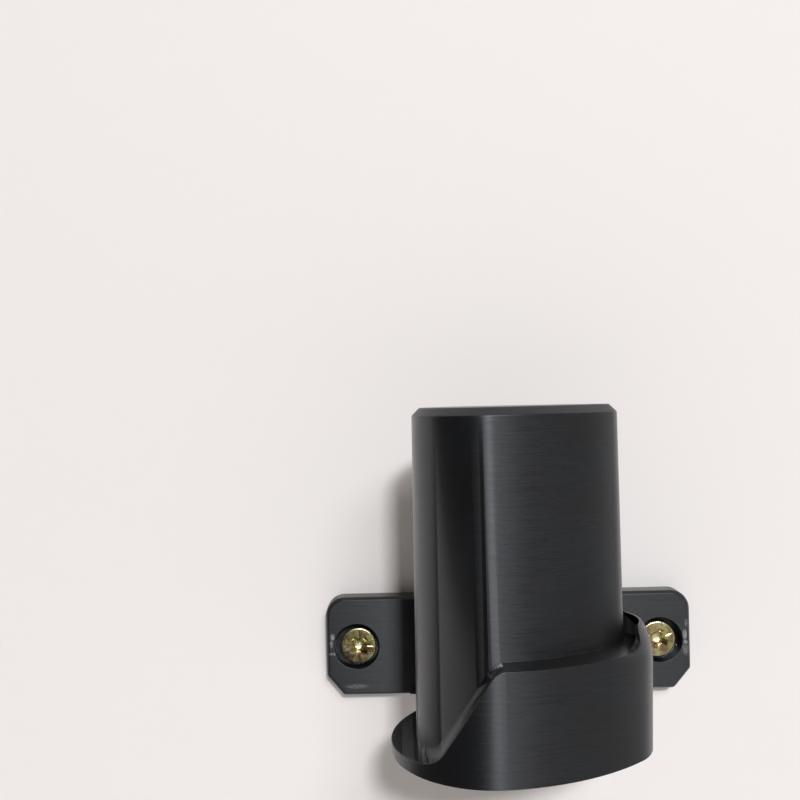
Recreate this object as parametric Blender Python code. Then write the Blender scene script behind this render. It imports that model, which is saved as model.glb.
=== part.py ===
"""Wall bracket for a pistol-grip power tool.

One printed body carries everything: a wall plate, a neck, and a foot with a stem, shaped like the battery
that the tool would otherwise hold. The tool's grip drops over the stem and rests on the foot's seat. Two
countersunk screws and their wall plugs hold the plate. Metres, +Z up. The wall is the plane y = 0, the
bracket stands out towards -Y, and the origin is the middle of the plate's back face.
"""

import math

import bmesh
import bpy
from mathutils import Vector

# Gaps and fineness
TOUCH_GAP = 0.0003
CUT_OVERRUN = 0.002
WELD_DISTANCE = 0.000001
ARC_STEP = math.radians(5)
ARC_CHORD = 0.001
TURNED_SIDES = 32
SMOOTH_ANGLE = math.radians(30)

# Wall plate
PLATE_WIDTH = 0.0828
PLATE_HEIGHT = 0.0222
PLATE_THICKNESS = 0.0045
PLATE_TOP_RADIUS = 0.0042
PLATE_CHAMFER_WIDTH = 0.0038
PLATE_CHAMFER_HEIGHT = 0.0045
PLATE_CHAMFER_RADIUS = 0.0012
PLATE_EDGE_BEVEL = 0.0006
HOLE_END_DISTANCE = 0.0069
COUNTERBORE_DEPTH = 0.0032

# Foot in plan: a round nose and a smaller round heel, joined by full flanks
FOOT_LENGTH = 0.0497
FOOT_NOSE_RADIUS = 0.0187
FOOT_HEEL_RADIUS = 0.0106
FOOT_FLANK_RADIUS = 0.045
FOOT_STANDOFF = 0.0116
FOOT_NOSEWARD_SHIFT = 0.00165
FOOT_LEAN = math.radians(1.2)

# Foot from the side: a thin ledge under the grip's front, a ramp, a plateau and a lip behind the grip
LEDGE_THICKNESS = 0.0022
LEDGE_LENGTH = 0.0077
LEDGE_ANGLE = math.radians(5.5)
LEDGE_FILLET = 0.0055
RAMP_ANGLE = math.radians(58.4)
PLATEAU_HEIGHT = 0.0203
PLATEAU_FILLET = 0.003
LIP_RISE = 0.0038
LIP_THICKNESS = 0.0026
LIP_REACH = 0.0041
LIP_FILLET = 0.002
LIP_SHOULDER_DROP = 0.0071
LIP_SHOULDER_RADIUS = 0.014

# Neck between plate and foot
NECK_END_INSET = 0.00785
NECK_FILLET = 0.004

# Stem inside the grip
STEM_INSET = 0.0048
STEM_HEIGHT = 0.045
STEM_CHAMFER = 0.0015
STEM_DRAFT = 0.0004

# Screws
SCREW_DIAMETER = 0.004
SCREW_LENGTH = 0.04
SCREW_SHANK_DIAMETER = 0.0029
SCREW_THREAD_LENGTH = 0.026
SCREW_POINT_LENGTH = 0.0048
SCREW_POINT_RADIUS = 0.0002
SCREW_SHIFT = 0.0004
HEAD_DIAMETER = 0.0081
HEAD_RIM = 0.00035
HEAD_CLEARANCE = 0.00105
RECESS_SPAN = 0.0044
RECESS_ARM_WIDTH = 0.001
RECESS_DEPTH = 0.0022
RECESS_FLOOR_SPAN = 0.002
RECESS_FLOOR_ARM_WIDTH = 0.0006
RECESS_TURNS = {"left": math.radians(48), "right": math.radians(64)}

# Wall plugs
PLUG_LENGTH = 0.03
PLUG_WALL = 0.0008
PLUG_SET_DEPTH = 0.0025
PLUG_COLLAR_LENGTH = 0.003
PLUG_NOSE_LENGTH = 0.004
PLUG_NOSE_WALL = 0.0005
PLUG_BARBS = 7
PLUG_BARB_DEPTH = 0.0003
PLUG_SLOT_WIDTH = 0.0009
PLUG_FIN_LENGTH = 0.007
PLUG_FIN_REACH = 0.0007
PLUG_FIN_THICKNESS = 0.0008

# Places that follow from the sizes above
SIDES = {"left": -1, "right": 1}
BOTTOM = -PLATE_HEIGHT / 2
FOOT_Y = -(PLATE_THICKNESS + FOOT_STANDOFF + FOOT_NOSE_RADIUS)
NOSE_X = -FOOT_NOSEWARD_SHIFT - FOOT_LENGTH / 2
HEEL_X = NOSE_X + FOOT_LENGTH
HOLE_X = PLATE_WIDTH / 2 - HOLE_END_DISTANCE
SCREW_X = HOLE_X - SCREW_SHIFT
LIP_HEIGHT = PLATEAU_HEIGHT + LIP_RISE
LIP_X = HEEL_X + PLATEAU_HEIGHT * math.tan(FOOT_LEAN) - LIP_REACH
SCREW_HOLE_RADIUS = SCREW_DIAMETER / 2 + SCREW_SHIFT + TOUCH_GAP
COUNTERBORE_RADIUS = HEAD_DIAMETER / 2 + HEAD_CLEARANCE


def arc_steps(radius, turn):
    """How many straight steps stand for an arc, so that neither their turn nor their length shows."""
    return max(2, math.ceil(turn / ARC_STEP), math.ceil(turn * radius / ARC_CHORD))


def cornered(corners):
    """A closed outline through corners given as (u, v, radius), with each corner rounded to its radius."""
    outline = []
    for i, (u, v, radius) in enumerate(corners):
        corner = Vector((u, v))
        before = Vector(corners[i - 1][:2]) - corner
        after = Vector(corners[(i + 1) % len(corners)][:2]) - corner
        turn = math.pi - before.angle(after)
        if radius <= 0 or turn < ARC_STEP:
            outline.append(corner)
            continue
        cut_back = min(radius * math.tan(turn / 2), before.length / 2, after.length / 2)
        radius = cut_back / math.tan(turn / 2)
        start = corner + before.normalized() * cut_back
        towards = (before.normalized() + after.normalized()).normalized()
        centre = corner + towards * radius / math.cos(turn / 2)
        steps = arc_steps(radius, turn)
        sense = 1 if before.cross(after) < 0 else -1
        first = start - centre
        for k in range(steps + 1):
            angle = sense * turn * k / steps
            across = Vector((-first.y, first.x))
            outline.append(centre + first * math.cos(angle) + across * math.sin(angle))
    return outline


def arc(centre, radius, start, end, inset=0.0):
    """Points of an arc, both ends included, from angle start to angle end, as many at every inset."""
    steps = arc_steps(radius, abs(end - start))
    angles = [start + (end - start) * k / steps for k in range(steps + 1)]
    return [Vector(centre) + Vector((math.cos(a), math.sin(a))) * (radius - inset) for a in angles]


def foot_outline(inset=0.0):
    """The foot's plan drawn in by inset: nose, flank, heel, flank, each arc tangent to the next."""
    nose = Vector((NOSE_X + FOOT_NOSE_RADIUS, FOOT_Y))
    heel = Vector((HEEL_X - FOOT_HEEL_RADIUS, FOOT_Y))
    to_nose = FOOT_FLANK_RADIUS - FOOT_NOSE_RADIUS
    to_heel = FOOT_FLANK_RADIUS - FOOT_HEEL_RADIUS
    apart = heel.x - nose.x
    along = (to_nose**2 - to_heel**2 + apart**2) / (2 * apart)
    across = math.sqrt(to_nose**2 - along**2)
    nose_turn = math.atan2(across, -along)
    heel_turn = math.atan2(across, apart - along)
    flank_low = nose + Vector((along, across))
    flank_high = nose + Vector((along, -across))
    parts = [
        arc(nose, FOOT_NOSE_RADIUS, nose_turn, 2 * math.pi - nose_turn, inset),
        arc(flank_low, FOOT_FLANK_RADIUS, -nose_turn, -heel_turn, inset),
        arc(heel, FOOT_HEEL_RADIUS, -heel_turn, heel_turn, inset),
        arc(flank_high, FOOT_FLANK_RADIUS, heel_turn, nose_turn, inset),
    ]
    return [point for part in parts for point in part[:-1]]


def heel_share(x):
    """The share of the heel's rounding at a point of the foot's outline: none on the flanks, all at the lip."""
    heel_centre_x = HEEL_X - FOOT_HEEL_RADIUS
    share = min(1.0, max(0.0, (x - heel_centre_x) / (LIP_X - heel_centre_x)))
    return share * share * (3 - 2 * share)


def foot_rings():
    """The foot's outline level by level: its sides lean out, and its heel rounds in towards the lip's top."""
    shoulder = LIP_HEIGHT - LIP_SHOULDER_DROP
    turn = math.asin((LIP_SHOULDER_DROP + CUT_OVERRUN) / LIP_SHOULDER_RADIUS)
    levels = [(-CUT_OVERRUN, 0.0)]
    for p in arc((0, shoulder), LIP_SHOULDER_RADIUS, 0, turn):
        levels.append((p.y, LIP_SHOULDER_RADIUS - p.x))
    rings = []
    for height, rounding in levels:
        lean = -height * math.tan(FOOT_LEAN)
        flanks, heel = foot_outline(lean), foot_outline(lean + rounding)
        ring = [a.lerp(b, heel_share(a.x)) for a, b in zip(flanks, heel)]
        rings.append([Vector((p.x, p.y, BOTTOM + height)) for p in ring])
    return rings


def seat_profile():
    """The foot from the side, as (x, z): flat below, and the seat that the grip's edge rests on above."""
    ledge_end = Vector((LEDGE_LENGTH, LEDGE_THICKNESS + LEDGE_LENGTH * math.tan(LEDGE_ANGLE)))
    plateau_x = ledge_end.x + (PLATEAU_HEIGHT - ledge_end.y) / math.tan(RAMP_ANGLE)
    lip_x, past_heel = LIP_X - NOSE_X, LIP_X - NOSE_X + LIP_REACH + CUT_OVERRUN
    corners = [
        (-CUT_OVERRUN, 0, 0),
        (-CUT_OVERRUN, LEDGE_THICKNESS - CUT_OVERRUN * math.tan(LEDGE_ANGLE), 0),
        (*ledge_end, LEDGE_FILLET),
        (plateau_x, PLATEAU_HEIGHT, PLATEAU_FILLET),
        (lip_x, PLATEAU_HEIGHT, LIP_FILLET),
        (lip_x, LIP_HEIGHT, 0),
        (past_heel, LIP_HEIGHT, 0),
        (past_heel, 0, 0),
    ]
    return [Vector((NOSE_X + p.x, BOTTOM + p.y)) for p in cornered(corners)]


def neck_outline():
    """The neck's plan, from inside the plate to the foot's long axis, flared where it leaves the plate."""
    front = -PLATE_THICKNESS
    low_x, high_x = NOSE_X + NECK_END_INSET, HEEL_X - NECK_END_INSET
    low_centre = (low_x - NECK_FILLET, front - NECK_FILLET)
    high_centre = (high_x + NECK_FILLET, front - NECK_FILLET)
    return [
        Vector((high_x + NECK_FILLET, front / 2)),
        Vector((low_x - NECK_FILLET, front / 2)),
        *arc(low_centre, NECK_FILLET, math.pi / 2, 0),
        Vector((low_x, FOOT_Y)),
        Vector((high_x, FOOT_Y)),
        *arc(high_centre, NECK_FILLET, math.pi, math.pi / 2),
    ]


def plate_outline():
    """The plate from the front, as (x, z): round corners above, chamfers that print without support below."""
    half_width, half_height = PLATE_WIDTH / 2, PLATE_HEIGHT / 2
    chamfer_x = half_width - PLATE_CHAMFER_WIDTH
    chamfer_z = PLATE_CHAMFER_HEIGHT - half_height
    return cornered([
        (-half_width, half_height, PLATE_TOP_RADIUS),
        (-half_width, chamfer_z, PLATE_CHAMFER_RADIUS),
        (-chamfer_x, -half_height, PLATE_CHAMFER_RADIUS),
        (chamfer_x, -half_height, PLATE_CHAMFER_RADIUS),
        (half_width, chamfer_z, PLATE_CHAMFER_RADIUS),
        (half_width, half_height, PLATE_TOP_RADIUS),
    ])


def new_object(name, work, smooth=False):
    """An object made from a bmesh, with its faces turned out."""
    bmesh.ops.recalc_face_normals(work, faces=work.faces)
    mesh = bpy.data.meshes.new(name)
    work.to_mesh(mesh)
    work.free()
    if smooth:
        mesh.shade_smooth()
        mesh.set_sharp_from_angle(angle=SMOOTH_ANGLE)
    made = bpy.data.objects.new(name, mesh)
    bpy.context.scene.collection.objects.link(made)
    return made


def lofted(name, rings):
    """A closed body through rings of as many points each, capped at both ends."""
    work = bmesh.new()
    loops = []
    for ring in rings:
        points = [work.verts.new(p) for p in ring]
        loops.append([work.edges.new((points[i - 1], points[i])) for i in range(len(points))])
        if len(loops) > 1:
            bmesh.ops.bridge_loops(work, edges=loops[-2] + loops[-1])
        if ring is rings[0] or ring is rings[-1]:
            work.faces.new(points)
    return new_object(name, work)


def upright(name, outline, low, high):
    """A prism along Z over a plan outline."""
    return lofted(name, [[Vector((p.x, p.y, z)) for p in outline] for z in (low, high)])


def across_wall(name, outline, near, far):
    """A prism along Y over an outline given as (x, z)."""
    return lofted(name, [[Vector((p.x, y, p.y)) for p in outline] for y in (near, far)])


def turned(name, profile):
    """A body turned about Z from a profile of (radius, z), either from axis to axis or a closed ring."""
    work = bmesh.new()
    points = [work.verts.new((radius, 0, z)) for radius, z in profile]
    edges = [work.edges.new(pair) for pair in zip(points, points[1:])]
    if profile[0][0] > 0:
        edges.append(work.edges.new((points[-1], points[0])))
    bmesh.ops.spin(
        work,
        geom=points + edges,
        cent=(0, 0, 0),
        axis=(0, 0, 1),
        angle=2 * math.pi,
        steps=TURNED_SIDES,
    )
    bmesh.ops.remove_doubles(work, verts=work.verts, dist=WELD_DISTANCE)
    return new_object(name, work, smooth=True)


def boolean(target, operation, other):
    """Adds a Boolean to target and makes other its hidden tool, which goes where target goes."""
    modifier = target.modifiers.new(f"{operation.lower()}_{other.name}", "BOOLEAN")
    modifier.operation = operation
    modifier.solver = "EXACT"
    modifier.object = other
    other.parent = target
    other.hide_render = True
    other.display_type = "WIRE"


def place(made, side, y, turn=0.0):
    """Puts a piece made along Z on one hole's screw line, with its top facing away from the wall."""
    made.location = (SIDES[side] * SCREW_X, y, 0)
    made.rotation_euler = (math.pi / 2, turn, 0)


def painted(target, name, colour, roughness, metallic=0.0):
    """Gives target a material of its own."""
    material = bpy.data.materials.new(name)
    material.use_nodes = True
    shader = material.node_tree.nodes["Principled BSDF"]
    shader.inputs["Base Color"].default_value = (*colour, 1)
    shader.inputs["Roughness"].default_value = roughness
    shader.inputs["Metallic"].default_value = metallic
    target.data.materials.clear()
    target.data.materials.append(material)


def build_plate():
    """The wall plate, with its front edge broken all round."""
    plate = across_wall("bracket_body", plate_outline(), 0, -PLATE_THICKNESS)
    work = bmesh.new()
    work.from_mesh(plate.data)
    middle = -PLATE_THICKNESS / 2
    front = [e for e in work.edges if all(v.co.y < middle for v in e.verts)]
    bmesh.ops.bevel(work, geom=front, offset=PLATE_EDGE_BEVEL, segments=1, affect="EDGES")
    work.to_mesh(plate.data)
    work.free()
    return plate


def build_foot():
    """The foot and its neck, cut to the seat's profile, with a pocket for the grip's heel behind the lip."""
    low, high = BOTTOM - CUT_OVERRUN, BOTTOM + LIP_HEIGHT + CUT_OVERRUN
    foot = lofted("foot", foot_rings())
    neck = upright("neck", neck_outline(), low, high)
    reach = FOOT_Y - FOOT_NOSE_RADIUS - FOOT_FLANK_RADIUS
    profile = across_wall("seat_profile", seat_profile(), CUT_OVERRUN, reach)
    lean = PLATEAU_HEIGHT * math.tan(FOOT_LEAN)
    pocket = upright("heel_pocket", foot_outline(LIP_THICKNESS - lean), BOTTOM + PLATEAU_HEIGHT, high)
    boolean(foot, "UNION", neck)
    boolean(foot, "INTERSECT", profile)
    boolean(foot, "DIFFERENCE", pocket)
    return foot


def build_stem():
    """The stem that goes up inside the grip, drawn in a little towards its top and chamfered there."""
    root = BOTTOM + LEDGE_THICKNESS / 2
    top = BOTTOM + PLATEAU_HEIGHT + STEM_HEIGHT
    levels = [
        (root, STEM_INSET),
        (top - STEM_CHAMFER, STEM_INSET + STEM_DRAFT),
        (top, STEM_INSET + STEM_DRAFT + STEM_CHAMFER),
    ]
    return lofted("stem", [[Vector((p.x, p.y, z)) for p in foot_outline(inset)] for z, inset in levels])


def build_hole_cutter(name, side):
    """A stepped cutter for one counterbored screw hole."""
    floor = PLATE_THICKNESS - COUNTERBORE_DEPTH
    cutter = turned(name, [
        (0, -CUT_OVERRUN),
        (SCREW_HOLE_RADIUS, -CUT_OVERRUN),
        (SCREW_HOLE_RADIUS, floor),
        (COUNTERBORE_RADIUS, floor),
        (COUNTERBORE_RADIUS, PLATE_THICKNESS + CUT_OVERRUN),
        (0, PLATE_THICKNESS + CUT_OVERRUN),
    ])
    cutter.rotation_euler = (math.pi / 2, 0, 0)
    cutter.location = (SIDES[side] * HOLE_X, 0, 0)
    return cutter


def build_bracket_body():
    """The printed body: plate, neck, foot and stem in one piece, with two counterbored holes."""
    body = build_plate()
    boolean(body, "UNION", build_foot())
    boolean(body, "UNION", build_stem())
    for side in SIDES:
        boolean(body, "DIFFERENCE", build_hole_cutter(f"hole_cutter_{side}", side))
    painted(body, "printed_plastic", (0.045, 0.047, 0.052), 0.5)


def head_top_y():
    """Where the top of a screw's head lies once its cone meets the edge of the screw hole, less the gap."""
    edge_radius = SCREW_HOLE_RADIUS - SCREW_SHIFT - TOUCH_GAP * math.sqrt(2)
    cone_above_edge = HEAD_DIAMETER / 2 - edge_radius
    return -(PLATE_THICKNESS - COUNTERBORE_DEPTH) - cone_above_edge - HEAD_RIM


def cross_ring(span, arm_width, z):
    """The outline of a cross recess at one depth."""
    reach, half = span / 2, arm_width / 2
    quarter = [(half, half), (half, reach), (-half, reach)]
    turns = [(1, 0), (0, 1), (-1, 0), (0, -1)]
    return [Vector((x * c - y * s, x * s + y * c, z)) for c, s in turns for x, y in quarter]


def build_screw(side):
    """A countersunk wood screw with a cross recess. Its thread is shown at the thread's outer size."""
    head, shank, thread = HEAD_DIAMETER / 2, SCREW_SHANK_DIAMETER / 2, SCREW_DIAMETER / 2
    thread_top = SCREW_THREAD_LENGTH - SCREW_LENGTH
    screw = turned(f"screw_{side}", [
        (0, 0),
        (head, 0),
        (head, -HEAD_RIM),
        (shank, -HEAD_RIM - head + shank),
        (shank, thread_top),
        (thread, thread_top - thread + shank),
        (thread, SCREW_POINT_LENGTH - SCREW_LENGTH),
        (SCREW_POINT_RADIUS, -SCREW_LENGTH),
        (0, -SCREW_LENGTH),
    ])
    wider = 2 * RECESS_SPAN - RECESS_FLOOR_SPAN
    wider_arm = 2 * RECESS_ARM_WIDTH - RECESS_FLOOR_ARM_WIDTH
    recess = lofted(f"recess_{side}", [
        cross_ring(RECESS_FLOOR_SPAN, RECESS_FLOOR_ARM_WIDTH, -RECESS_DEPTH),
        cross_ring(wider, wider_arm, RECESS_DEPTH),
    ])
    boolean(screw, "DIFFERENCE", recess)
    place(screw, side, head_top_y(), RECESS_TURNS[side])
    painted(screw, f"yellow_zinc_{side}", (0.55, 0.42, 0.16), 0.3, 1.0)


def plug_profile():
    """A plug's wall in section: a closed ring of (radius, z), its mouth at z = 0, its barbs pointing back."""
    bore = SCREW_DIAMETER / 2 + TOUCH_GAP
    outer = bore + PLUG_WALL
    barbed = PLUG_LENGTH - PLUG_COLLAR_LENGTH - PLUG_NOSE_LENGTH
    pitch = barbed / PLUG_BARBS
    ring = [(bore, 0), (outer, 0), (outer, -PLUG_COLLAR_LENGTH)]
    for k in range(PLUG_BARBS):
        top = -PLUG_COLLAR_LENGTH - k * pitch
        ring += [(outer - PLUG_BARB_DEPTH, top), (outer, top - pitch / 2), (outer, top - pitch)]
    return ring + [(bore + PLUG_NOSE_WALL, -PLUG_LENGTH), (bore, -PLUG_LENGTH)]


def box(name, low, high):
    """A box between two corners."""
    ring = [(low[0], low[1]), (high[0], low[1]), (high[0], high[1]), (low[0], high[1])]
    return lofted(name, [[Vector((x, y, z)) for x, y in ring] for z in (low[2], high[2])])


def build_plug(side):
    """A nylon wall plug, slit lengthways so that the screw spreads it, with fins that stop it turning."""
    plug = turned(f"wall_plug_{side}", plug_profile())
    outer = SCREW_DIAMETER / 2 + TOUCH_GAP + PLUG_WALL
    slot_half, past = PLUG_SLOT_WIDTH / 2, outer + CUT_OVERRUN
    slot_top, slot_end = -2 * PLUG_COLLAR_LENGTH, PLUG_NOSE_LENGTH / 2 - PLUG_LENGTH
    slot = box(f"plug_slot_{side}", (-slot_half, -past, slot_end), (slot_half, past, slot_top))
    fin_root, fin_end = outer - PLUG_WALL / 2, outer + PLUG_FIN_REACH
    fin_half, fin_top = PLUG_FIN_THICKNESS / 2, -PLUG_COLLAR_LENGTH
    for hand, sign in SIDES.items():
        inner, outermost = sorted((sign * fin_root, sign * fin_end))
        low = (inner, -fin_half, fin_top - PLUG_FIN_LENGTH)
        boolean(plug, "UNION", box(f"plug_fin_{hand}_{side}", low, (outermost, fin_half, fin_top)))
    boolean(plug, "DIFFERENCE", slot)
    place(plug, side, PLUG_SET_DEPTH)
    painted(plug, f"nylon_{side}", (0.42, 0.43, 0.44), 0.45)


def main():
    for leftover in list(bpy.data.objects):
        bpy.data.objects.remove(leftover)
    build_bracket_body()
    for side in SIDES:
        build_screw(side)
        build_plug(side)


main()
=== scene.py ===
import math

import bmesh
import bpy
from mathutils import Matrix, Vector


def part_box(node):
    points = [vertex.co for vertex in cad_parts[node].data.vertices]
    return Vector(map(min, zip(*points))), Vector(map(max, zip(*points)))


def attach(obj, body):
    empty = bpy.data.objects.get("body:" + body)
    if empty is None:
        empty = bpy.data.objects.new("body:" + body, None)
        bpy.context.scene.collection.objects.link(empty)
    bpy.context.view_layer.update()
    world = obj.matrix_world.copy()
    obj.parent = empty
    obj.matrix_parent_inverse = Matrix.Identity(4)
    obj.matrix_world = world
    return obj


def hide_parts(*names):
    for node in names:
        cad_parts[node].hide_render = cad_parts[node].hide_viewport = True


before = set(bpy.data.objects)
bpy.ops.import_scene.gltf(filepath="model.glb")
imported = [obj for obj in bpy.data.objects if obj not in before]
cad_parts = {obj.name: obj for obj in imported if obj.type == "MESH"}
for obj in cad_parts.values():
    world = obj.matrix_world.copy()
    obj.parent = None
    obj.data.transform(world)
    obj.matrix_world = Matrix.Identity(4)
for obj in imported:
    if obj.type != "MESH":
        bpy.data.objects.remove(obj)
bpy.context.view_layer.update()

MM = 0.001

# The finer copies of the solids
EDGE_ROUNDING = 0.16 * MM
PLUG_EDGE_ROUNDING = 0.06 * MM
ROUNDED_FROM = math.radians(28)
SMOOTH_ANGLE = math.radians(32)
FLAT_ANGLE = math.radians(0.5)
WELD_DISTANCE = 0.001 * MM

# The plate's counterbores, whose walls begin just behind its front
HOLE_X = 34.5 * MM
COUNTERBORE_RADIUS = 5.13 * MM
HOLE_MOUTH_Y = -4.35 * MM

# The screws
HEAD_EDGE_RADIUS = 0.34 * MM
HEAD_EDGE_STEPS = 4
RIM_HEIGHT = 0.42 * MM
HEAD_BLEND_WIDTH = 0.15 * MM
HEAD_BLEND_DROP = 0.3 * MM
SHANK_RADIUS = 1.45 * MM
CORE_RADIUS = 1.22 * MM
CORE_TAPER_SLOPE = 3
POINT_LENGTH = 4.8 * MM
POINT_RADIUS = 0.2 * MM
TURNED_STEPS = 72

# The screws' threads, rooted in the core, and the shares of their height and width left at the tip
THREAD_RADIUS = 2.0 * MM
THREAD_PITCH = 1.8 * MM
THREAD_LENGTH = 26 * MM
THREAD_BASE_HALF = 0.42 * MM
THREAD_CREST_HALF = 0.06 * MM
THREAD_ROOT_SHARE = 0.7
POINT_THREAD_HEIGHT_SHARE = 0.25
POINT_THREAD_WIDTH_SHARE = 0.4
BARE_POINT_SHARE = 0.12
THREAD_RUN_IN_TURNS = 0.7
THREAD_STEPS = 36

# The recess: a cross in sections of (span, arm width, z), and a punched centre as (radius, z)
RECESS_TURNS = {"left": math.radians(2), "right": math.radians(-22)}
RECESS_LIFT = 0.6 * MM
CROSS_SECTIONS = (
    (2.4 * MM, 0.78 * MM, -1.1 * MM),
    (3.3 * MM, 1.04 * MM, -0.5 * MM),
    (4.9 * MM, 1.24 * MM, 0),
    (5.3 * MM, 1.36 * MM, RECESS_LIFT),
)
PUNCH_PROFILE = (
    (0, -1.6 * MM),
    (1.02 * MM, -1.18 * MM),
    (1.3 * MM, -0.13 * MM),
    (1.68 * MM, 0),
    (3.43 * MM, RECESS_LIFT),
    (0, RECESS_LIFT),
)
PUNCH_STEPS = 48

# Ticks between the cross's arms, as (depth, slope of the sides in degrees), and pockets in two arms
TICKS = ((0.11 * MM, 22), (0.06 * MM, 13), (0.04 * MM, 10), (0.06 * MM, 13))
TICK_REACH = (1.95 * MM, 3.4 * MM)
POCKETED_ARMS = (0, 1)
POCKET_RADIUS = 0.5 * MM
POCKET_DISTANCE = 1.9 * MM
POCKET_DEPTH = 0.2 * MM
POCKET_SEGMENTS, POCKET_RINGS = 24, 16

# Colours as linear values
PLASTIC_COOL = (0.0075, 0.0081, 0.0098, 1)
PLASTIC_WARM = (0.0080, 0.0071, 0.0077, 1)
# Lightened edges: partly wear, partly a painted edge highlight
PLASTIC_WORN_AND_LIT_EDGE = (0.045, 0.046, 0.05, 1)
# Pale marks, one of them a painted highlight
PLASTIC_PALE_MARK = (0.36, 0.36, 0.37, 1)
PLASTIC_SHEEN = (0.92, 0.96, 1.0, 1)
# Pale yellow of a painted highlight on the screws' rims and recess floors
ZINC_PAINTED_HIGHLIGHT = (0.95, 0.89, 0.58, 1)
ZINC_GOLD = (0.82, 0.69, 0.36, 1)
ZINC_GREEN = (0.62, 0.61, 0.22, 1)
ZINC_BROWN = (0.40, 0.25, 0.15, 1)
NYLON = (0.42, 0.43, 0.44, 1)
NYLON_DARK = (0.35, 0.36, 0.37, 1)
WALL = (0.885, 0.845, 0.825, 1)
FLOOR = (0.84, 0.83, 0.82, 1)
BACKDROP = (0.86, 0.85, 0.84, 1)
SKY = (1.0, 0.89, 0.77, 1)
LAMP = (0.96, 0.975, 1.0)
BACK_LAMP = (0.97, 0.98, 1.0)

# What is the same all over a surface, by the shader's sockets
PLASTIC_GLOSS = {
    "Specular IOR Level": 0.6,
    "Specular Tint": PLASTIC_SHEEN,
    "Coat Weight": 0.3,
    "Coat Roughness": 0.3,
    "Anisotropic": 0.95,
}
ZINC_METAL = {"Metallic": 1.0}
NYLON_DEPTH = {"Subsurface Weight": 0.08, "Subsurface Radius": (0.6 * MM, 0.6 * MM, 0.6 * MM)}
STAGE_MATT = {"Roughness": 0.9, "Specular IOR Level": 0.1}

# The print's layers, its laid lines and its rubbed edges, whose lightening is also a painted edge
# highlight
LAYER = 0.2 * MM
LINE_WIDTH = 0.45 * MM
WORN_AND_LIT_EDGE_RADIUS = 0.35 * MM
WORN_AND_LIT_EDGE_SAMPLES = 4

# How far apart two layers lie in the fast and the slow noise, and how much more the slow one counts
DRIFT_STEP = 0.37
WANDER_STEP = 0.011
WANDER_FACTOR = 1.6

# Heights of the surfaces' relief in millimetres
BEAD_HEIGHT = 0.02
LAYER_OFFSET = 0.017
LAID_LINE_HEIGHT = 0.008
PLASTIC_GRAIN_HEIGHT = 0.0008
SPOKE_HEIGHT = 0.04
PITTING_HEIGHT = 0.02
NYLON_GRAIN_HEIGHT = 0.02

# Roughnesses that parts of a surface have at least or at most
PALE_MARKED_LEAST = 0.65
SMOOTH_MOST = 0.28
RECESS_FLOOR_LEAST = 0.4

# Noises as (scale, detail, roughness), in cycles per metre but for the spokes', which go round a head
DRIFT_NOISE = (160, 1.5, 0.5)
WANDER_NOISE = (60, 2.0, 0.5)
PLASTIC_GRAIN_NOISE = (9000, 3.0, 0.6)
PLASTIC_TONE_NOISE = (90, 2.0, 0.5)
WEAR_AND_HIGHLIGHT_NOISE = (700, 4.0, 0.65)
PALE_MARK_NOISE = (1900, 4.0, 0.75)
PALE_MARK_SQUEEZE = 2.2
ZINC_TONE_NOISE = (330, 2.0, 0.5)
ZINC_STAIN_NOISE = (520, 3.0, 0.6)
ZINC_GLOSS_NOISE = (1500, 3.0, 0.5)
PITTING_NOISE = (1100, 3.0, 0.6)
SPOKE_NOISE = (9, 2.0, 0.6)
SPOKE_SPREAD = 60
NYLON_TONE_NOISE = (150, 2.0, 0.5)
NYLON_GLOSS_NOISE = (700, 3.0, 0.5)
NYLON_GRAIN_NOISE = (2500, 4.0, 0.6)

# Ramps as (low, high), from zero to one, or as (low, high, value at low, value at high)
UPRIGHT_RAMP = (0.35, 0.7, 1.0, 0.0)
SLOPE_RAMP = (0.08, 0.3)
LEVEL_RAMP = (0.6, 0.9)
TOP_RAMP = (0.8, 0.95)
FRONT_RAMP = (-0.9, -0.6, 1.0, 0.0)
BEAD_RAMP = (0.2, 0.8, 0.75 * BEAD_HEIGHT, 1.2 * BEAD_HEIGHT)
TONE_RAMP = (0.35, 0.65)
EDGE_RAMP = (0.86, 0.985, 1.0, 0.0)
WEAR_AND_HIGHLIGHT_RAMP = (0.4, 0.7, 0.1, 0.8)
PALE_MARK_EDGE = (0.1, 1.5)
PALE_MARK_STROKE_RAMP = (0.38, 0.58)
PLASTIC_ROUGHNESS_RAMP = (0.25, 0.75, 0.42, 0.47)
ZINC_TONE_RAMP = (0.4, 0.6)
ZINC_STAIN_RAMP = (0.42, 0.6, 0.0, 0.95)
ZINC_ROUGHNESS_RAMP = (0.3, 0.7, 0.22, 0.38)
RECESS_FLOOR_DEPTHS = (0.8 * MM, 1.0 * MM)
RECESS_FLOOR_RAMP = (0.75 * MM, 1.0 * MM, 1.0, 0.0)
RIM_HIGHLIGHT_RAMP = (3.55 * MM, 3.75 * MM, 0.0, 0.7)
NYLON_ROUGHNESS_RAMP = (0.3, 0.7, 0.38, 0.52)

# Pale marks on the ears' fronts, as (x, z, half width, half height) in millimetres and their strength;
# the wide one along the left ear's lower edge is a painted highlight
PALE_MARKS = [
    (-39.95, 2.2, 0.5, 0.75, 1.0),
    (-40.25, 0.7, 0.35, 1.0, 0.7),
    (-40.0, -1.65, 0.9, 0.3, 0.7),
    # A painted highlight along the left ear's lower edge
    (-34.6, -9.05, 2.6, 0.55, 0.34),
    (40.1, 1.1, 0.5, 1.2, 1.0),
    (40.25, -0.6, 0.5, 0.5, 1.0),
    (40.25, -2.3, 0.8, 1.3, 0.45),
    (40.5, 3.7, 0.4, 0.9, 0.45),
]

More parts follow.
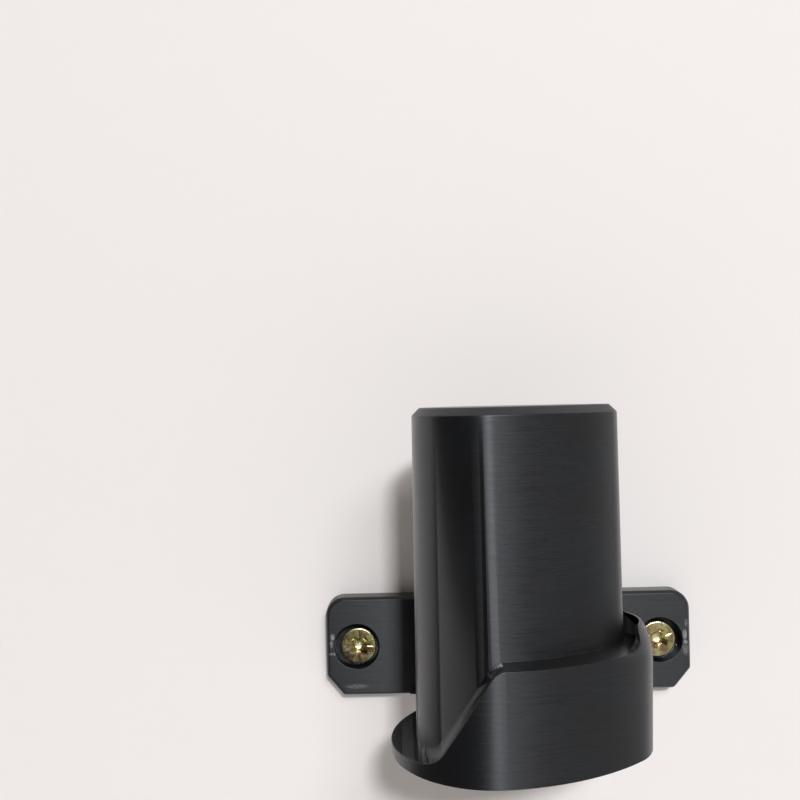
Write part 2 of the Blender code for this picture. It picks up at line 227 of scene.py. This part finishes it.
# The stage
WALL_Y = 0.1 * MM
WALL_LEFT, WALL_RIGHT = -165 * MM, 118 * MM
WALL_LOW, WALL_HIGH = -79 * MM, 195 * MM
WALL_FADE = 38 * MM
WALL_OPENING_INSET = 0.4 * MM
WALL_OPENING_LOW_CUT = (3.4 * MM, 4.2 * MM)
WALL_OPENING_TOP_CUT = 2.5 * MM
FLOOR_Z = -80 * MM
FLOOR_RADIUS = 0.9
FLOOR_FADE_SHARES = (0.3, 0.95)

# The room that only reflections show: its glow from left to right, and a factor on it from low to high
ROOM_RADIUS = 2.2
ROOM_HEIGHT = 7.0
ROOM_FLOOR_GAP = 1.0 * MM
ROOM_STEPS = 24
ROOM_GLOW_RAMP = (-0.3, 0.1, 0.015, 0.22)
ROOM_GLOW_FACTOR_RAMP = (0.0, 0.6, 1.7, 0.8)

# Lamps: azimuth and elevation in degrees, distance, width and height in metres, watts, and colour
LAMPS = {
    "key": (7, 27, 1.6, 0.18, 0.14, 13.6, LAMP),
    "side": (18, 34, 1.6, 0.6, 0.4, 7.3, LAMP),
    "back_fill": (190, 30, 1.2, 0.6, 0.6, 5.0, BACK_LAMP),
}
SKY_STRENGTH = 0.14

# The photograph's camera, with its focal length and the photograph's width in pixels
CAMERA_PLACE = Vector((-23.4, -199, 55.8)) * MM
CAMERA_ROLL = math.radians(1.3)
CAMERA_NEAREST = 10 * MM
SENSOR_WIDTH = 36
FOCAL_PIXELS = 855.8
PHOTO_PIXELS = 800


class Surface:
    """A material whose nodes are written as sums."""

    def __init__(self, name, uniform=()):
        self.material = bpy.data.materials.new(name)
        self.material.use_nodes = True
        self.tree = self.material.node_tree
        self.shader = self.tree.nodes["Principled BSDF"]
        for key, value in dict(uniform).items():
            self.shader.inputs[key].default_value = value

    def node(self, kind, inputs=(), **settings):
        made = self.tree.nodes.new(kind)
        for key, value in settings.items():
            setattr(made, key, value)
        for key, value in dict(inputs).items():
            self.feed(made.inputs[key], value)
        return made

    def feed(self, socket, value):
        if isinstance(value, bpy.types.NodeSocket):
            self.tree.links.new(value, socket)
        else:
            socket.default_value = value

    def sum(self, operation, *values):
        made = self.node("ShaderNodeMath", enumerate(values), operation=operation)
        return made.outputs[0]

    def ramp(self, value, low, high, start=0.0, end=1.0):
        """value from low to high, eased, as start to end."""
        keys = {"Value": value, "From Min": low, "From Max": high, "To Min": start, "To Max": end}
        made = self.node("ShaderNodeMapRange", keys, interpolation_type="SMOOTHSTEP")
        return made.outputs["Result"]

    def mix(self, share, first, second):
        made = self.node("ShaderNodeMix", data_type="RGBA")
        self.feed(made.inputs["Factor"], share)
        self.feed(made.inputs[6], first)
        self.feed(made.inputs[7], second)
        return made.outputs[2]

    def noise(self, place, scale, detail, roughness):
        keys = {"Vector": place, "Scale": scale, "Detail": detail, "Roughness": roughness}
        return self.node("ShaderNodeTexNoise", keys).outputs["Fac"]

    def vector(self, x, y, z):
        return self.node("ShaderNodeCombineXYZ", {"X": x, "Y": y, "Z": z}).outputs[0]

    def split(self, vector):
        made = self.node("ShaderNodeSeparateXYZ", {"Vector": vector})
        return [made.outputs[axis] for axis in "XYZ"]

    def distance(self, first, second):
        """How far a place is from an axis, from its two coordinates across that axis."""
        away = self.vector(first, second, 0.0)
        return self.node("ShaderNodeVectorMath", {0: away}, operation="LENGTH").outputs["Value"]

    def place(self):
        return self.node("ShaderNodeTexCoord").outputs["Object"]

    def normal(self):
        return self.node("ShaderNodeNewGeometry").outputs["Normal"]

    def finish(self, colour, roughness, height, depth):
        """Joins colour, roughness and a height, in units of depth, to the shader."""
        bump = self.node("ShaderNodeBump", {"Height": height, "Strength": 1.0, "Distance": depth})
        self.feed(self.shader.inputs["Base Color"], colour)
        self.feed(self.shader.inputs["Roughness"], roughness)
        self.feed(self.shader.inputs["Normal"], bump.outputs["Normal"])
        return self.material


def pale_mark_mask(s, x, z):
    """Where the ears' fronts are painted pale, one mark being a painted highlight along the left ear's
    lower edge: broken strokes that fade at their ends.
    """
    strokes = s.noise(s.vector(s.sum("MULTIPLY", x, PALE_MARK_SQUEEZE), 0.0, z), *PALE_MARK_NOISE)
    mask = 0.0
    for centre_x, centre_z, half_width, half_height, strength in PALE_MARKS:
        across = s.sum("DIVIDE", s.sum("SUBTRACT", x, centre_x * MM), half_width * MM)
        up = s.sum("DIVIDE", s.sum("SUBTRACT", z, centre_z * MM), half_height * MM)
        away = s.sum("ADD", s.sum("MULTIPLY", across, across), s.sum("MULTIPLY", up, up))
        mask = s.sum("MAXIMUM", mask, s.ramp(away, *PALE_MARK_EDGE, strength, 0.0))
    return s.sum("MULTIPLY", mask, s.ramp(strokes, *PALE_MARK_STROKE_RAMP))


def hole_mask(s, x, y, z):
    """One inside the plate's counterbores, whose walls the nozzle ran round."""
    across = s.sum("SUBTRACT", s.sum("ABSOLUTE", x), HOLE_X)
    within = s.sum("LESS_THAN", s.distance(across, z), COUNTERBORE_RADIUS)
    return s.sum("MULTIPLY", within, s.sum("GREATER_THAN", y, HOLE_MOUTH_Y))


def bead_height(s, share, drift, wander):
    """Stacked beads, each a little further in or out; share runs from a layer's bottom to its top."""
    centred = s.sum("MULTIPLY_ADD", share, 2.0, -1.0)
    bead = s.sum("SUBTRACT", 1.0, s.sum("MULTIPLY", centred, centred))
    bulge = s.sum("MULTIPLY", bead, s.ramp(drift, *BEAD_RAMP))
    shift = s.sum("ADD", drift, s.sum("MULTIPLY", wander, WANDER_FACTOR))
    return s.sum("ADD", bulge, s.sum("MULTIPLY", shift, LAYER_OFFSET))


def step_height(s, share, up):
    """The steps that layers leave on a slope; up is the normal's upward part."""
    step = s.sum("MULTIPLY", s.sum("MULTIPLY", share, up), -LAYER / MM)
    return s.sum("MULTIPLY", step, s.ramp(up, *SLOPE_RAMP))


def line_height(s, x, y, lean):
    """Lines laid side by side at 45 degrees; lean is one or minus one, by the layer."""
    across = s.sum("MULTIPLY_ADD", y, lean, x)
    turns = s.sum("MULTIPLY", across, math.pi / (LINE_WIDTH * math.sqrt(2)))
    return s.sum("MULTIPLY", s.sum("ABSOLUTE", s.sum("SINE", turns)), LAID_LINE_HEIGHT)


def plastic_colour(s, place, normal, pale_marked):
    """Cool and warm greys, edges lightened both as rubbed wear and as a painted highlight, and pale
    marks, one of them a painted highlight.
    """
    tone = s.ramp(s.noise(place, *PLASTIC_TONE_NOISE), *TONE_RAMP)
    rounded = s.node("ShaderNodeBevel", {"Radius": WORN_AND_LIT_EDGE_RADIUS}, samples=WORN_AND_LIT_EDGE_SAMPLES)
    normals = {0: rounded.outputs[0], 1: normal}
    turn = s.node("ShaderNodeVectorMath", normals, operation="DOT_PRODUCT").outputs["Value"]
    # Edges are lightened both as rubbed wear and as a painted edge highlight
    wear_and_highlight = s.sum("MULTIPLY", s.ramp(turn, *EDGE_RAMP), s.ramp(s.noise(place, *WEAR_AND_HIGHLIGHT_NOISE), *WEAR_AND_HIGHLIGHT_RAMP))
    colour = s.mix(wear_and_highlight, s.mix(tone, PLASTIC_COOL, PLASTIC_WARM), PLASTIC_WORN_AND_LIT_EDGE)
    # Pale marks painted on, one of them a painted highlight along the left ear's lower edge
    return s.mix(pale_marked, colour, PLASTIC_PALE_MARK)


def printed_plastic(bottom):
    """Dark grey filament: layered beads on upright faces, steps on slopes, lines on level faces."""
    s = Surface("printed_plastic_layers", PLASTIC_GLOSS)
    place, normal = s.place(), s.normal()
    x, y, z = s.split(place)
    forward, up = s.split(normal)[1:]
    upright = s.ramp(s.sum("ABSOLUTE", up), *UPRIGHT_RAMP)
    level_face = s.ramp(s.sum("ABSOLUTE", up), *LEVEL_RAMP)

    # Layers from the bottom up, and what changes from one to the next
    level = s.sum("DIVIDE", s.sum("SUBTRACT", z, bottom), LAYER)
    index, share = s.sum("FLOOR", level), s.sum("FRACT", level)
    drift = s.noise(s.vector(x, y, s.sum("MULTIPLY", index, DRIFT_STEP)), *DRIFT_NOISE)
    wander = s.noise(s.vector(x, y, s.sum("MULTIPLY", index, WANDER_STEP)), *WANDER_NOISE)
    lean = s.sum("MULTIPLY_ADD", s.sum("PINGPONG", index, 1.0), 2.0, -1.0)

    # The relief on each kind of face
    wall_relief = s.sum("MULTIPLY", bead_height(s, share, drift, wander), upright)
    laid_relief = s.sum("MULTIPLY", line_height(s, x, y, lean), level_face)
    height = s.sum("ADD", wall_relief, s.sum("ADD", step_height(s, share, up), laid_relief))
    height = s.sum("MULTIPLY_ADD", s.noise(place, *PLASTIC_GRAIN_NOISE), PLASTIC_GRAIN_HEIGHT, height)

    # Pale marks are duller, and the holes' walls and top faces are smoother
    pale_marked = s.sum("MULTIPLY", pale_mark_mask(s, x, z), s.ramp(forward, *FRONT_RAMP))
    roughness = s.ramp(drift, *PLASTIC_ROUGHNESS_RAMP)
    roughness = s.sum("MAXIMUM", roughness, s.sum("MULTIPLY", pale_marked, PALE_MARKED_LEAST))
    smooth = s.sum("MAXIMUM", hole_mask(s, x, y, z), s.ramp(up, *TOP_RAMP))
    roughness = s.sum("MINIMUM", roughness, s.sum("MULTIPLY_ADD", smooth, SMOOTH_MOST - 1.0, 1.0))

    # Gloss spreads across the beads and lines, not along them
    sideways = s.sum("MULTIPLY", level_face, s.sum("MULTIPLY", lean, -1.0))
    s.feed(s.shader.inputs["Tangent"], s.vector(level_face, sideways, upright))
    return s.finish(plastic_colour(s, place, normal, pale_marked), roughness, height, MM)


def yellow_zinc(screw_x, face_y):
    """Zinc whose yellow passivate shades to olive and brown, with a painted highlight that makes the rim
    and the recess's floor pale.
    """
    s = Surface("yellow_zinc_passivate", ZINC_METAL)
    place = s.place()
    x, y, z = s.split(place)
    across = s.sum("SUBTRACT", s.sum("ABSOLUTE", x), screw_x)
    away = s.distance(across, z)
    deep = s.ramp(y, *(face_y + depth for depth in RECESS_FLOOR_DEPTHS))
    on_floor = s.sum("MULTIPLY", deep, s.ramp(away, *RECESS_FLOOR_RAMP))

    tone = s.ramp(s.noise(place, *ZINC_TONE_NOISE), *ZINC_TONE_RAMP)
    stain = s.ramp(s.noise(place, *ZINC_STAIN_NOISE), *ZINC_STAIN_RAMP)
    colour = s.mix(stain, s.mix(tone, ZINC_GOLD, ZINC_GREEN), ZINC_BROWN)
    # Painted highlight: the rim and the recess's floor are made pale
    colour = s.mix(s.sum("MAXIMUM", on_floor, s.ramp(away, *RIM_HIGHLIGHT_RAMP)), colour, ZINC_PAINTED_HIGHLIGHT)
    roughness = s.ramp(s.noise(place, *ZINC_GLOSS_NOISE), *ZINC_ROUGHNESS_RAMP)
    roughness = s.sum("MAXIMUM", roughness, s.sum("MULTIPLY", on_floor, RECESS_FLOOR_LEAST))

    # Marks that run out from the middle like spokes, and pitting
    angle = s.sum("ARCTAN2", z, across)
    spoke = s.vector(s.sum("COSINE", angle), s.sum("SINE", angle), s.sum("MULTIPLY", x, SPOKE_SPREAD))
    marks = s.sum("MULTIPLY", s.noise(spoke, *SPOKE_NOISE), SPOKE_HEIGHT)
    height = s.sum("MULTIPLY_ADD", s.noise(place, *PITTING_NOISE), PITTING_HEIGHT, marks)
    return s.finish(colour, roughness, height, MM)


def moulded_nylon():
    """Grey nylon from a mould."""
    s = Surface("moulded_nylon", NYLON_DEPTH)
    place = s.place()
    colour = s.mix(s.ramp(s.noise(place, *NYLON_TONE_NOISE), *TONE_RAMP), NYLON, NYLON_DARK)
    roughness = s.ramp(s.noise(place, *NYLON_GLOSS_NOISE), *NYLON_ROUGHNESS_RAMP)
    return s.finish(colour, roughness, s.noise(place, *NYLON_GRAIN_NOISE), NYLON_GRAIN_HEIGHT * MM)


def new_piece(name, work, material):
    """An object from a bmesh, smooth but for its sharp edges."""
    mesh = bpy.data.meshes.new(name)
    work.to_mesh(mesh)
    work.free()
    mesh.materials.clear()
    mesh.materials.append(material)
    mesh.shade_smooth()
    mesh.set_sharp_from_angle(angle=SMOOTH_ANGLE)
    piece = bpy.data.objects.new(name, mesh)
    bpy.context.scene.collection.objects.link(piece)
    modifier = piece.modifiers.new("flat_faces_stay_flat", "WEIGHTED_NORMAL")
    modifier.keep_sharp = True
    return piece


def refined(node, name, material, rounding, segments=2):
    """A finer copy of a CAD node: its facets joined, its edges rounded and its curved faces smooth."""
    work = bmesh.new()
    work.from_mesh(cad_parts[node].data)
    bmesh.ops.remove_doubles(work, verts=work.verts, dist=WELD_DISTANCE)
    bmesh.ops.dissolve_limit(work, angle_limit=FLAT_ANGLE, verts=work.verts, edges=work.edges)
    convex = [edge for edge in work.edges if edge.is_manifold and edge.is_convex]
    sharp = [edge for edge in convex if edge.calc_face_angle() > ROUNDED_FROM]
    bmesh.ops.bevel(
        work,
        geom=sharp,
        offset=rounding,
        segments=segments,
        profile=0.5,
        affect="EDGES",
        clamp_overlap=False,
    )
    return new_piece(name, work, material)


def stand_for(piece, node):
    """piece takes node's place."""
    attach(piece, "root")
    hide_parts(node)


def turned(profile, steps=TURNED_STEPS):
    """A body turned about Z from a profile of (radius, z) that starts and ends on the axis."""
    work = bmesh.new()
    points = [work.verts.new((radius, 0, z)) for radius, z in profile]
    edges = [work.edges.new(pair) for pair in zip(points, points[1:])]
    bmesh.ops.spin(
        work,
        geom=points + edges,
        cent=(0, 0, 0),
        axis=(0, 0, 1),
        angle=2 * math.pi,
        steps=steps,
    )
    bmesh.ops.remove_doubles(work, verts=work.verts, dist=WELD_DISTANCE)
    bmesh.ops.recalc_face_normals(work, faces=work.faces)
    return work


def prism(rings):
    """A body through rings of points, capped at both ends."""
    work = bmesh.new()
    loops = [[work.verts.new(p) for p in ring] for ring in rings]
    for before, after in zip(loops, loops[1:]):
        for i in range(len(before)):
            work.faces.new((before[i - 1], before[i], after[i], after[i - 1]))
    work.faces.new(loops[0])
    work.faces.new(loops[-1])
    return work


def as_tool(name, work):
    """A bmesh as an object that a Boolean uses."""
    mesh = bpy.data.meshes.new(name)
    bmesh.ops.recalc_face_normals(work, faces=work.faces)
    work.to_mesh(mesh)
    work.free()
    tool = bpy.data.objects.new(name, mesh)
    bpy.context.scene.collection.objects.link(tool)
    return tool


def combined(work, steps):
    """work after Boolean steps, given as (operation, bmesh)."""
    base = as_tool("base", work)
    tools = [base]
    for operation, other in steps:
        modifier = base.modifiers.new(operation, "BOOLEAN")
        modifier.operation = operation
        modifier.solver = "EXACT"
        modifier.object = as_tool("tool", other)
        tools.append(modifier.object)
    evaluated = base.evaluated_get(bpy.context.evaluated_depsgraph_get())
    made = bmesh.new()
    made.from_mesh(evaluated.to_mesh())
    evaluated.to_mesh_clear()
    for tool in tools:
        bpy.data.objects.remove(tool)
    return made


def between(start, end, share):
    """start at share zero, end at share one."""
    return start + (end - start) * share


def thread_ridge(length):
    """The thread's ridge: a wedge swept along a helix, which runs out at the shank and at the point."""
    top, tip = THREAD_LENGTH - length, -length
    turns = (THREAD_LENGTH - POINT_LENGTH * BARE_POINT_SHARE) / THREAD_PITCH
    rings = []
    for k in range(round(turns * THREAD_STEPS) + 1):
        angle = 2 * math.pi * k / THREAD_STEPS
        z = top - THREAD_PITCH * k / THREAD_STEPS
        taper = min(1.0, (z - tip) / POINT_LENGTH)
        run_in = min(1.0, k / (THREAD_STEPS * THREAD_RUN_IN_TURNS))
        core = between(POINT_RADIUS, CORE_RADIUS, taper)
        rise = (THREAD_RADIUS - CORE_RADIUS) * run_in * between(POINT_THREAD_HEIGHT_SHARE, 1.0, taper)
        root, crest = core * THREAD_ROOT_SHARE, core + rise
        base = THREAD_BASE_HALF * between(POINT_THREAD_WIDTH_SHARE, 1.0, taper)
        section = [(root, -base), (crest, -THREAD_CREST_HALF), (crest, THREAD_CREST_HALF), (root, base)]
        cos, sin = math.cos(angle), math.sin(angle)
        rings.append([(r * cos, r * sin, z + dz) for r, dz in section])
    return prism(rings)


def cross(span, width, z):
    """The outline at one depth of a cross whose arms lie between the ticks."""
    reach, half = span / 2, width / 2
    quarter = [(half, half), (half, reach), (-half, reach)]
    points = []
    for arm in range(4):
        angle = math.pi / 4 + arm * math.pi / 2
        cos, sin = math.cos(angle), math.sin(angle)
        points += [Vector((x * cos - y * sin, x * sin + y * cos, z)) for x, y in quarter]
    return points


def pocket(turn):
    """A round hollow in the arm that turn leads to."""
    work = bmesh.new()
    bmesh.ops.create_uvsphere(
        work,
        u_segments=POCKET_SEGMENTS,
        v_segments=POCKET_RINGS,
        radius=POCKET_RADIUS,
    )
    place = Matrix.Rotation(math.pi / 4, 3, "Z") @ turn @ Vector((POCKET_DISTANCE, 0, -POCKET_DEPTH))
    bmesh.ops.translate(work, verts=work.verts, vec=place)
    return work


def tick(turn, depth, slope):
    """A groove from the recess to the rim, with sides at slope degrees."""
    half = (RECESS_LIFT + depth) / math.tan(math.radians(slope))
    section = [(-half, RECESS_LIFT), (half, RECESS_LIFT), (0, -depth)]
    return prism([[turn @ Vector((r, across, z)) for across, z in section] for r in TICK_REACH])


def recess_tools():
    """What cuts the recess: a tapered cross, a punched centre with a conical floor, pockets, ticks."""
    tools = [prism([cross(*section) for section in CROSS_SECTIONS]), turned(PUNCH_PROFILE, PUNCH_STEPS)]
    for arm, (depth, slope) in enumerate(TICKS):
        turn = Matrix.Rotation(arm * math.pi / 2, 3, "Z")
        if arm in POCKETED_ARMS:
            tools.append(pocket(turn))
        tools.append(tick(turn, depth, slope))
    return [("DIFFERENCE", tool) for tool in tools]


def screw_profile(head, length):
    """A screw's outline without its thread, from its face down, as (radius, z)."""
    profile = [(0, 0), (head - HEAD_EDGE_RADIUS, 0)]
    for k in range(1, HEAD_EDGE_STEPS + 1):
        angle = k * math.pi / 2 / HEAD_EDGE_STEPS
        radius = head - HEAD_EDGE_RADIUS * (1 - math.sin(angle))
        profile.append((radius, -HEAD_EDGE_RADIUS * (1 - math.cos(angle))))
    cone_end = -RIM_HEIGHT - head + SHANK_RADIUS
    thread_top = THREAD_LENGTH - length
    return profile + [
        (head, -RIM_HEIGHT),
        (SHANK_RADIUS + HEAD_BLEND_WIDTH, cone_end + HEAD_BLEND_WIDTH),
        (SHANK_RADIUS, cone_end - HEAD_BLEND_DROP),
        (SHANK_RADIUS, thread_top),
        (CORE_RADIUS, thread_top - (SHANK_RADIUS - CORE_RADIUS) * CORE_TAPER_SLOPE),
        (CORE_RADIUS, POINT_LENGTH - length),
        (POINT_RADIUS, POINT_RADIUS - length),
        (0, -length),
    ]


def build_screw(side, material):
    """A countersunk wood screw at its node's place, with a ticked cross recess and a cut thread."""
    low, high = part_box(f"screw_{side}")
    head, length = (high.z - low.z) / 2, high.y - low.y
    steps = [("UNION", thread_ridge(length)), *recess_tools()]
    work = combined(turned(screw_profile(head, length)), steps)
    turn = Matrix.Rotation(RECESS_TURNS[side], 4, "Y") @ Matrix.Rotation(math.pi / 2, 4, "X")
    centre = Vector(((low.x + high.x) / 2, low.y, (low.z + high.z) / 2))
    work.transform(Matrix.Translation(centre) @ turn)
    piece = new_piece(f"screw_{side}_threaded", work, material)
    stand_for(piece, f"screw_{side}")


def one_sided(name, colour, solid):
    """A matt stage surface that shows from its front, only where solid(surface, x, y, z) says."""
    s = Surface(name, {"Base Color": colour, **STAGE_MATT})
    back = s.node("ShaderNodeNewGeometry").outputs["Backfacing"]
    gone = s.sum("MAXIMUM", back, s.sum("SUBTRACT", 1.0, solid(s, *s.split(s.place()))))
    clear = s.node("ShaderNodeBsdfTransparent").outputs[0]
    mixed = s.node("ShaderNodeMixShader", {0: gone, 1: s.shader.outputs[0], 2: clear})
    s.feed(s.tree.nodes["Material Output"].inputs["Surface"], mixed.outputs[0])
    return s.material


def staged(name, faces, material):
    """A stage surface from faces given by their corners."""
    work = bmesh.new()
    for corners in faces:
        work.faces.new([work.verts.new(c) for c in corners])
    bmesh.ops.remove_doubles(work, verts=work.verts, dist=WELD_DISTANCE)
    surface = new_piece(name, work, material)
    return surface


def wall_opacity(s, x, y, z):
    """One over the photograph's field, fading to nothing past it."""
    left = s.ramp(x, WALL_LEFT, WALL_LEFT + WALL_FADE)
    right = s.ramp(x, WALL_RIGHT - WALL_FADE, WALL_RIGHT, 1.0, 0.0)
    below = s.ramp(z, WALL_LOW, WALL_LOW + WALL_FADE)
    above = s.ramp(z, WALL_HIGH - WALL_FADE, WALL_HIGH, 1.0, 0.0)
    return s.sum("MULTIPLY", s.sum("MULTIPLY", left, right), s.sum("MULTIPLY", below, above))


def floor_opacity(s, x, y, z):
    """One under the bracket, fading to nothing further out."""
    near, far = (FLOOR_RADIUS * share for share in FLOOR_FADE_SHARES)
    return s.ramp(s.distance(x, y), near, far, 1.0, 0.0)


def build_wall(low, high):
    """A pale wall, open behind the plate, which is as wide as the box and as high over z = 0 as under."""
    left, right = low.x + WALL_OPENING_INSET, high.x - WALL_OPENING_INSET
    bottom, top = low.z + WALL_OPENING_INSET, -low.z - WALL_OPENING_INSET
    (low_x, low_z), top_cut = WALL_OPENING_LOW_CUT, WALL_OPENING_TOP_CUT
    corners = [
        (left, bottom, low_x, low_z, WALL_LEFT, WALL_LOW),
        (right, bottom, -low_x, low_z, WALL_RIGHT, WALL_LOW),
        (right, top, -top_cut, -top_cut, WALL_RIGHT, WALL_HIGH),
        (left, top, top_cut, -top_cut, WALL_LEFT, WALL_HIGH),
    ]

    # A face at each corner, from the opening's cut out to the wall's corner, and one along each side
    outlines = [
        [(x, z + dz), (x + dx, z), (x + dx, far_z), (far_x, far_z), (far_x, z + dz)]
        for x, z, dx, dz, far_x, far_z in corners
    ]
    for k in range(len(corners)):
        a, b = outlines[k], outlines[(k + 1) % len(corners)]
        outlines.append([a[0], a[4], b[4], b[0]] if k % 2 else [a[1], b[1], b[2], a[2]])
    faces = [[Vector((x, WALL_Y, z)) for x, z in outline] for outline in outlines]
    for face in faces:
        if (face[1] - face[0]).cross(face[2] - face[1]).y > 0:
            face.reverse()
    staged("wall", faces, one_sided("wall_paint", WALL, wall_opacity))


def build_floor():
    """A pale floor below the bracket."""
    r = FLOOR_RADIUS
    corners = [(-r, -r, FLOOR_Z), (r, -r, FLOOR_Z), (r, r, FLOOR_Z), (-r, r, FLOOR_Z)]
    staged("floor", [[Vector(c) for c in corners]], one_sided("floor_paint", FLOOR, floor_opacity))


def build_room():
    """The dim room in front of the wall, lighter on its right, which only reflections show."""
    s = Surface("room_glow")
    x, y, z = s.split(s.place())
    glow = s.ramp(s.sum("DIVIDE", x, s.distance(x, y)), *ROOM_GLOW_RAMP)
    glow = s.sum("MULTIPLY", glow, s.ramp(z, *ROOM_GLOW_FACTOR_RAMP))
    light = s.node("ShaderNodeEmission", {"Strength": glow})
    s.feed(s.tree.nodes["Material Output"].inputs["Surface"], light.outputs[0])
    s.material.cycles.emission_sampling = "NONE"
    bottom, top = Vector((0, 0, FLOOR_Z + ROOM_FLOOR_GAP)), Vector((0, 0, ROOM_HEIGHT))
    faces = []
    for k in range(ROOM_STEPS):
        angles = [math.pi * (1 + (k + i) / ROOM_STEPS) for i in (0, 1)]
        near, far = (Vector((math.cos(a), math.sin(a), 0)) * ROOM_RADIUS for a in angles)
        faces.append([near + bottom, far + bottom, far + top, near + top])
        faces.append([near + bottom, bottom, far + bottom])
    room = staged("room", faces, s.material)
    for ray in ("camera", "diffuse", "transmission", "volume_scatter", "shadow"):
        setattr(room, f"visible_{ray}", False)


def build_world():
    """Even light all round, and a pale backdrop for what the camera and reflections see."""
    world = bpy.data.worlds.new("studio")
    bpy.context.scene.world = world
    world.use_nodes = True
    nodes, links = world.node_tree.nodes, world.node_tree.links
    nodes.clear()
    path = nodes.new("ShaderNodeLightPath")
    seen = path.outputs["Is Camera Ray"]
    for ray in ("Is Glossy Ray", "Is Transmission Ray"):
        larger = nodes.new("ShaderNodeMath")
        larger.operation = "MAXIMUM"
        links.new(seen, larger.inputs[0])
        links.new(path.outputs[ray], larger.inputs[1])
        seen = larger.outputs[0]
    sky = nodes.new("ShaderNodeBackground")
    sky.inputs["Color"].default_value = SKY
    sky.inputs["Strength"].default_value = SKY_STRENGTH
    backdrop = nodes.new("ShaderNodeBackground")
    backdrop.inputs["Color"].default_value = BACKDROP
    mixed = nodes.new("ShaderNodeMixShader")
    links.new(seen, mixed.inputs[0])
    links.new(sky.outputs[0], mixed.inputs[1])
    links.new(backdrop.outputs[0], mixed.inputs[2])
    links.new(mixed.outputs[0], nodes.new("ShaderNodeOutputWorld").inputs["Surface"])


def add_light(name, azimuth, elevation, distance, width, height, power, colour):
    """A soft rectangular lamp that faces the bracket, placed by its direction as seen from there."""
    a, e = math.radians(azimuth), math.radians(elevation)
    away = Vector((math.sin(a) * math.cos(e), -math.cos(a) * math.cos(e), math.sin(e)))
    data = bpy.data.lights.new(name, "AREA")
    data.shape = "RECTANGLE"
    data.size, data.size_y = width, height
    data.energy = power
    data.color = colour
    lamp = bpy.data.objects.new(name, data)
    lamp.location = away * distance
    lamp.rotation_euler = away.to_track_quat("Z", "Y").to_euler()
    bpy.context.scene.collection.objects.link(lamp)


def build_camera():
    """The photograph's camera: level, square to the wall, and rolled a little."""
    data = bpy.data.cameras.new("camera")
    data.sensor_width = SENSOR_WIDTH
    data.lens = SENSOR_WIDTH * FOCAL_PIXELS / PHOTO_PIXELS
    data.clip_start = CAMERA_NEAREST
    camera = bpy.data.objects.new("camera", data)
    roll = Matrix.Rotation(CAMERA_ROLL, 4, "Y")
    camera.matrix_world = Matrix.Translation(CAMERA_PLACE) @ roll @ Matrix.Rotation(math.pi / 2, 4, "X")
    bpy.context.scene.collection.objects.link(camera)
    bpy.context.scene.camera = camera


body_low, body_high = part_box("bracket_body")
body = refined("bracket_body", "bracket_print", printed_plastic(body_low.z), EDGE_ROUNDING)
stand_for(body, "bracket_body")

screw_low, screw_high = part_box("screw_right")
zinc, nylon = yellow_zinc((screw_low.x + screw_high.x) / 2, screw_low.y), moulded_nylon()
for side in ("left", "right"):
    build_screw(side, zinc)
    plug = refined(f"wall_plug_{side}", f"wall_plug_{side}_moulded", nylon, PLUG_EDGE_ROUNDING, 1)
    stand_for(plug, f"wall_plug_{side}")

build_wall(body_low, body_high)
build_floor()
build_room()
build_world()
for lamp_name, values in LAMPS.items():
    add_light(lamp_name, *values)
build_camera()
bpy.context.scene.view_settings.view_transform = "Standard"
